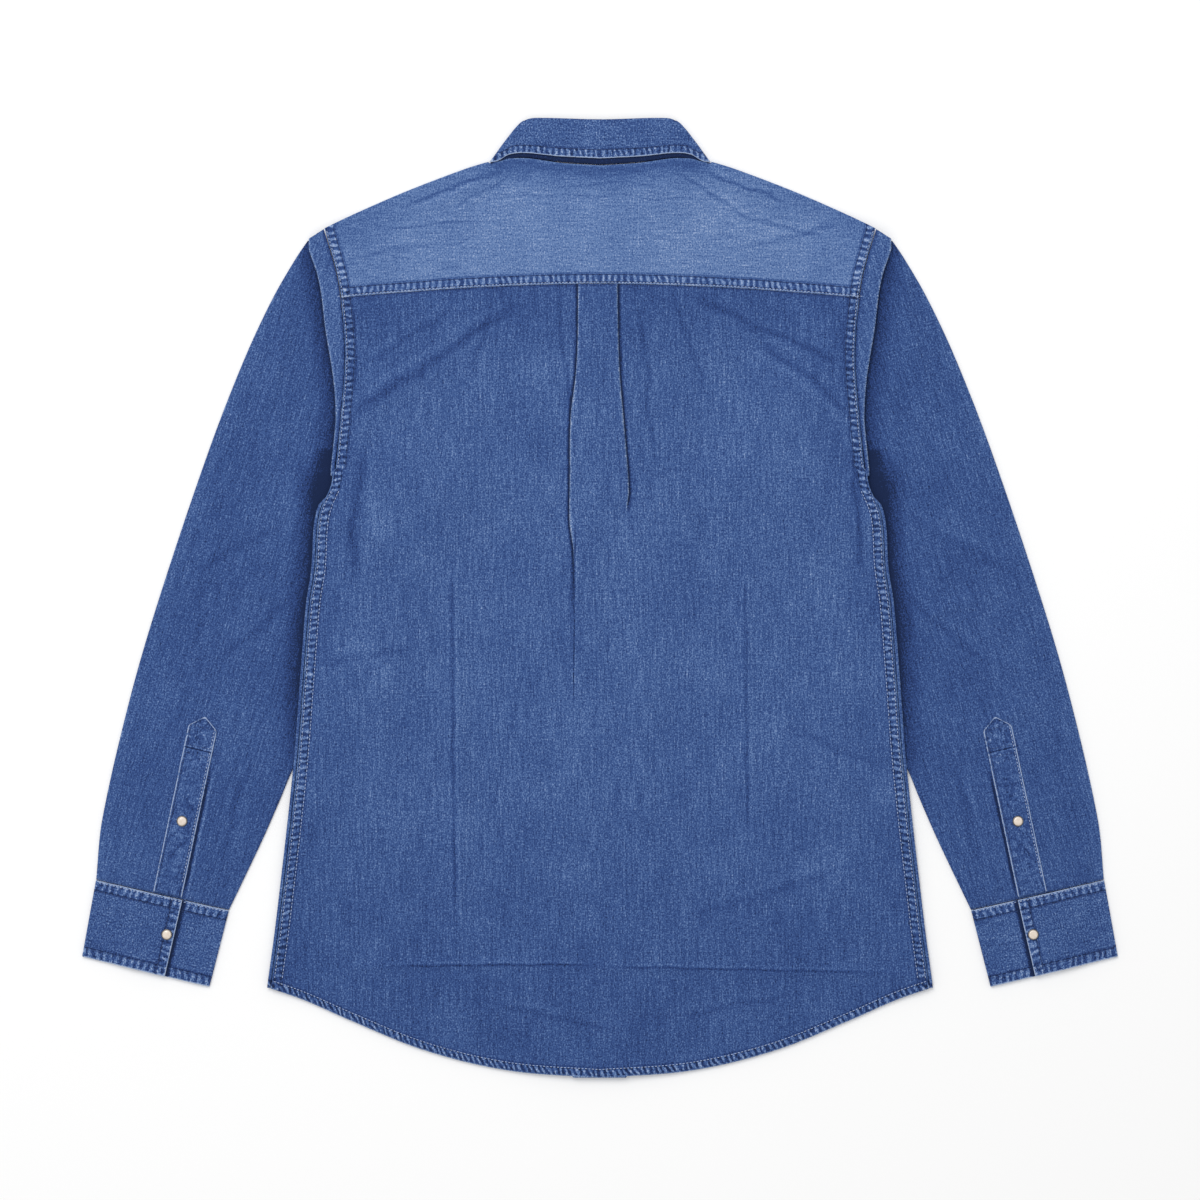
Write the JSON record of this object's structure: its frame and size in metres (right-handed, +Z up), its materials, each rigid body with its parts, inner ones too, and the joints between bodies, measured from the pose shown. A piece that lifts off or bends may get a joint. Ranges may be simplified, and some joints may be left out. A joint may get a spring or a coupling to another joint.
{
  "type": "denim shirt laid flat",
  "caption": "Long-sleeved blue denim shirt laid flat on its front, with a faded back yoke, a box pleat, a turned-down collar and pearl snaps.",
  "frame": {"origin": "middle of the shirt's outline on the surface that it lies on", "axes": "+Z up from the surface, +Y from the hem to the collar, +X to the wearer's right, seen from the back"},
  "size_m": [0.89, 0.8238, 0.0095],
  "materials": {
    "denim": "matte",
    "faded_denim": "matte",
    "snap_pearl": "polished"
  },
  "bodies": {
    "root": {"back_panel": "denim", "yoke": "faded_denim", "front_left": "denim", "front_right": "denim", "front_placket": "denim", "collar_stand": "denim", "collar_fall": "denim", "sleeve_left": "denim", "cuff_left": "denim", "sleeve_placket_left": "denim", "snap_cuff_left": "snap_pearl", "snap_placket_left": "snap_pearl", "sleeve_right": "denim", "cuff_right": "denim", "sleeve_placket_right": "denim", "snap_cuff_right": "snap_pearl", "snap_placket_right": "snap_pearl", "snap_front_1": "snap_pearl", "snap_front_2": "snap_pearl", "snap_front_3": "snap_pearl", "snap_front_4": "snap_pearl", "snap_front_5": "snap_pearl", "snap_front_6": "snap_pearl", "snap_front_7": "snap_pearl"}
  },
  "joints": []
}
